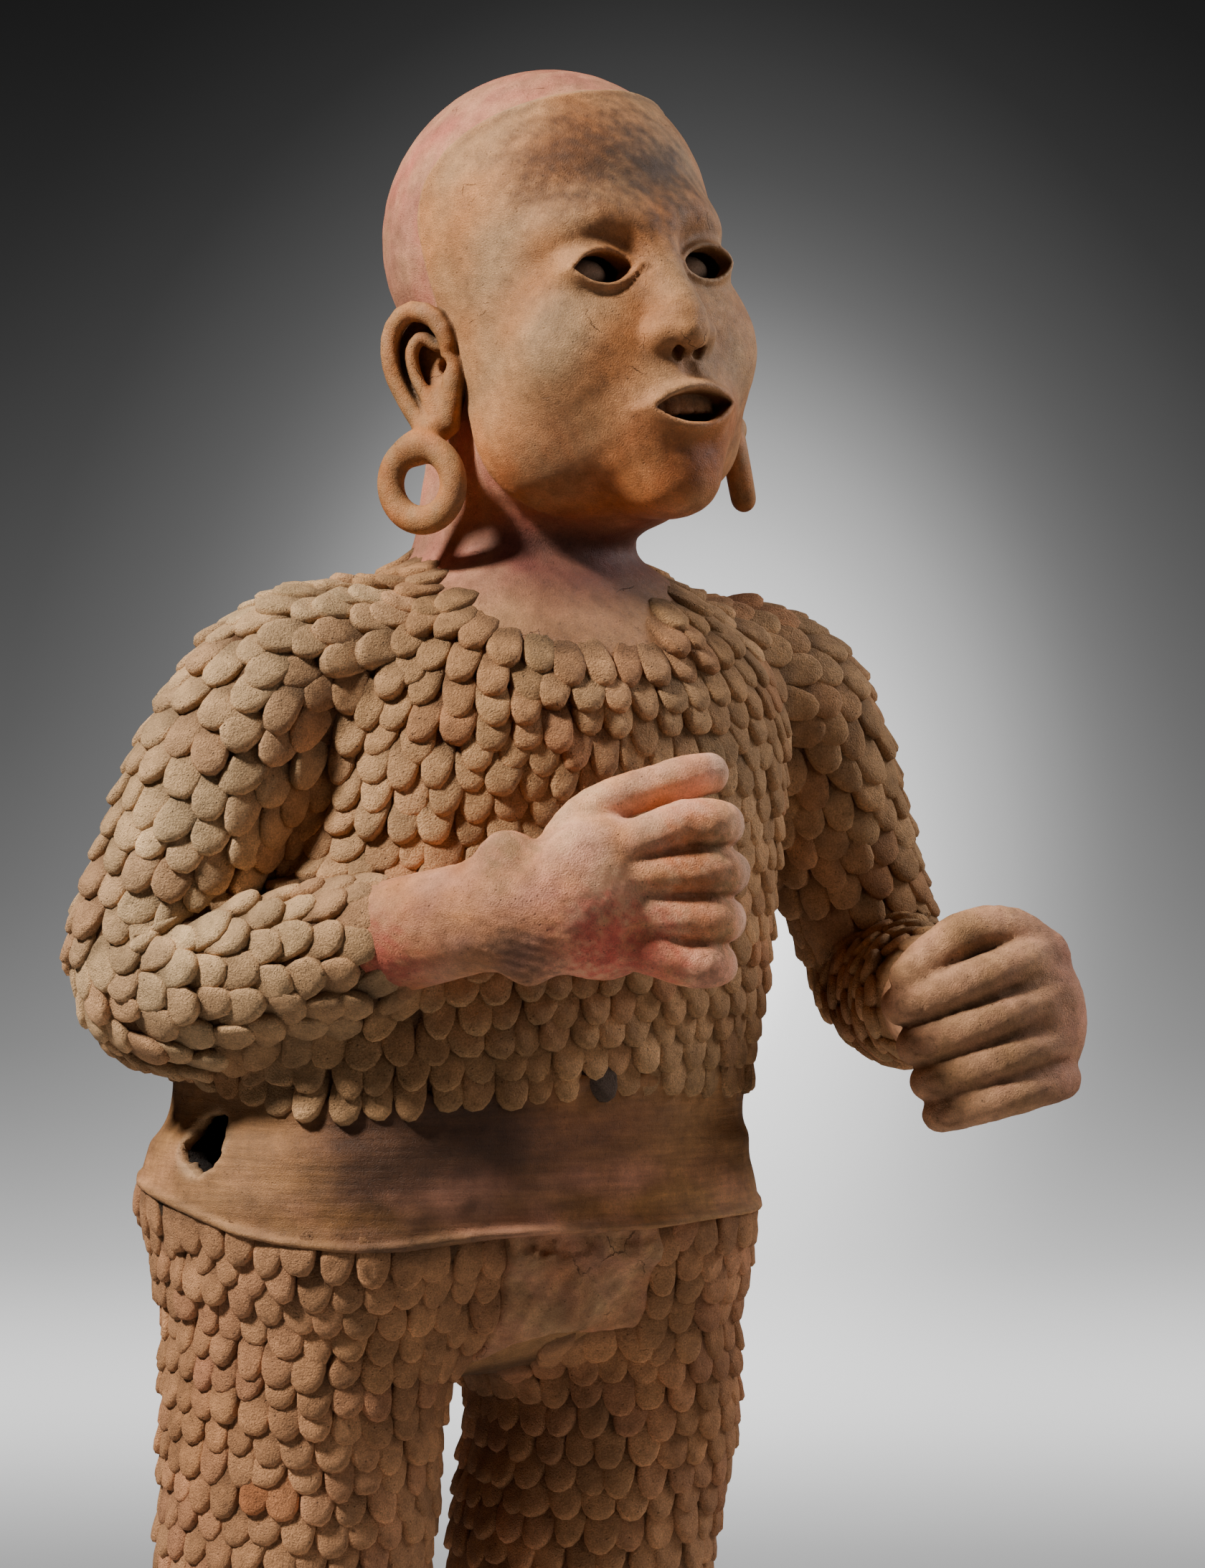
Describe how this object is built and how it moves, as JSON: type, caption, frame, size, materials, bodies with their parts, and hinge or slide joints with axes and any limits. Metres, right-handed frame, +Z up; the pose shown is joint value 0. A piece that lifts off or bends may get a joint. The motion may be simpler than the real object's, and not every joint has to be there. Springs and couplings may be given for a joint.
{
  "type": "terracotta deity statue",
  "caption": "Standing hollow terracotta figure in a shirt and trousers of overlapping clay scales, with ring ears, a smooth belt and closed hands, on a low base.",
  "frame": {"origin": "middle of the underside of the base, on the surface the statue stands on", "axes": "+Z up through the head, -Y the way the statue faces, +X towards the statue's own left hand"},
  "size_m": [0.5387, 0.4065, 1.267],
  "materials": {
    "terracotta": "matt fired clay"
  },
  "bodies": {
    "root": {"statue": "terracotta"}
  },
  "joints": []
}
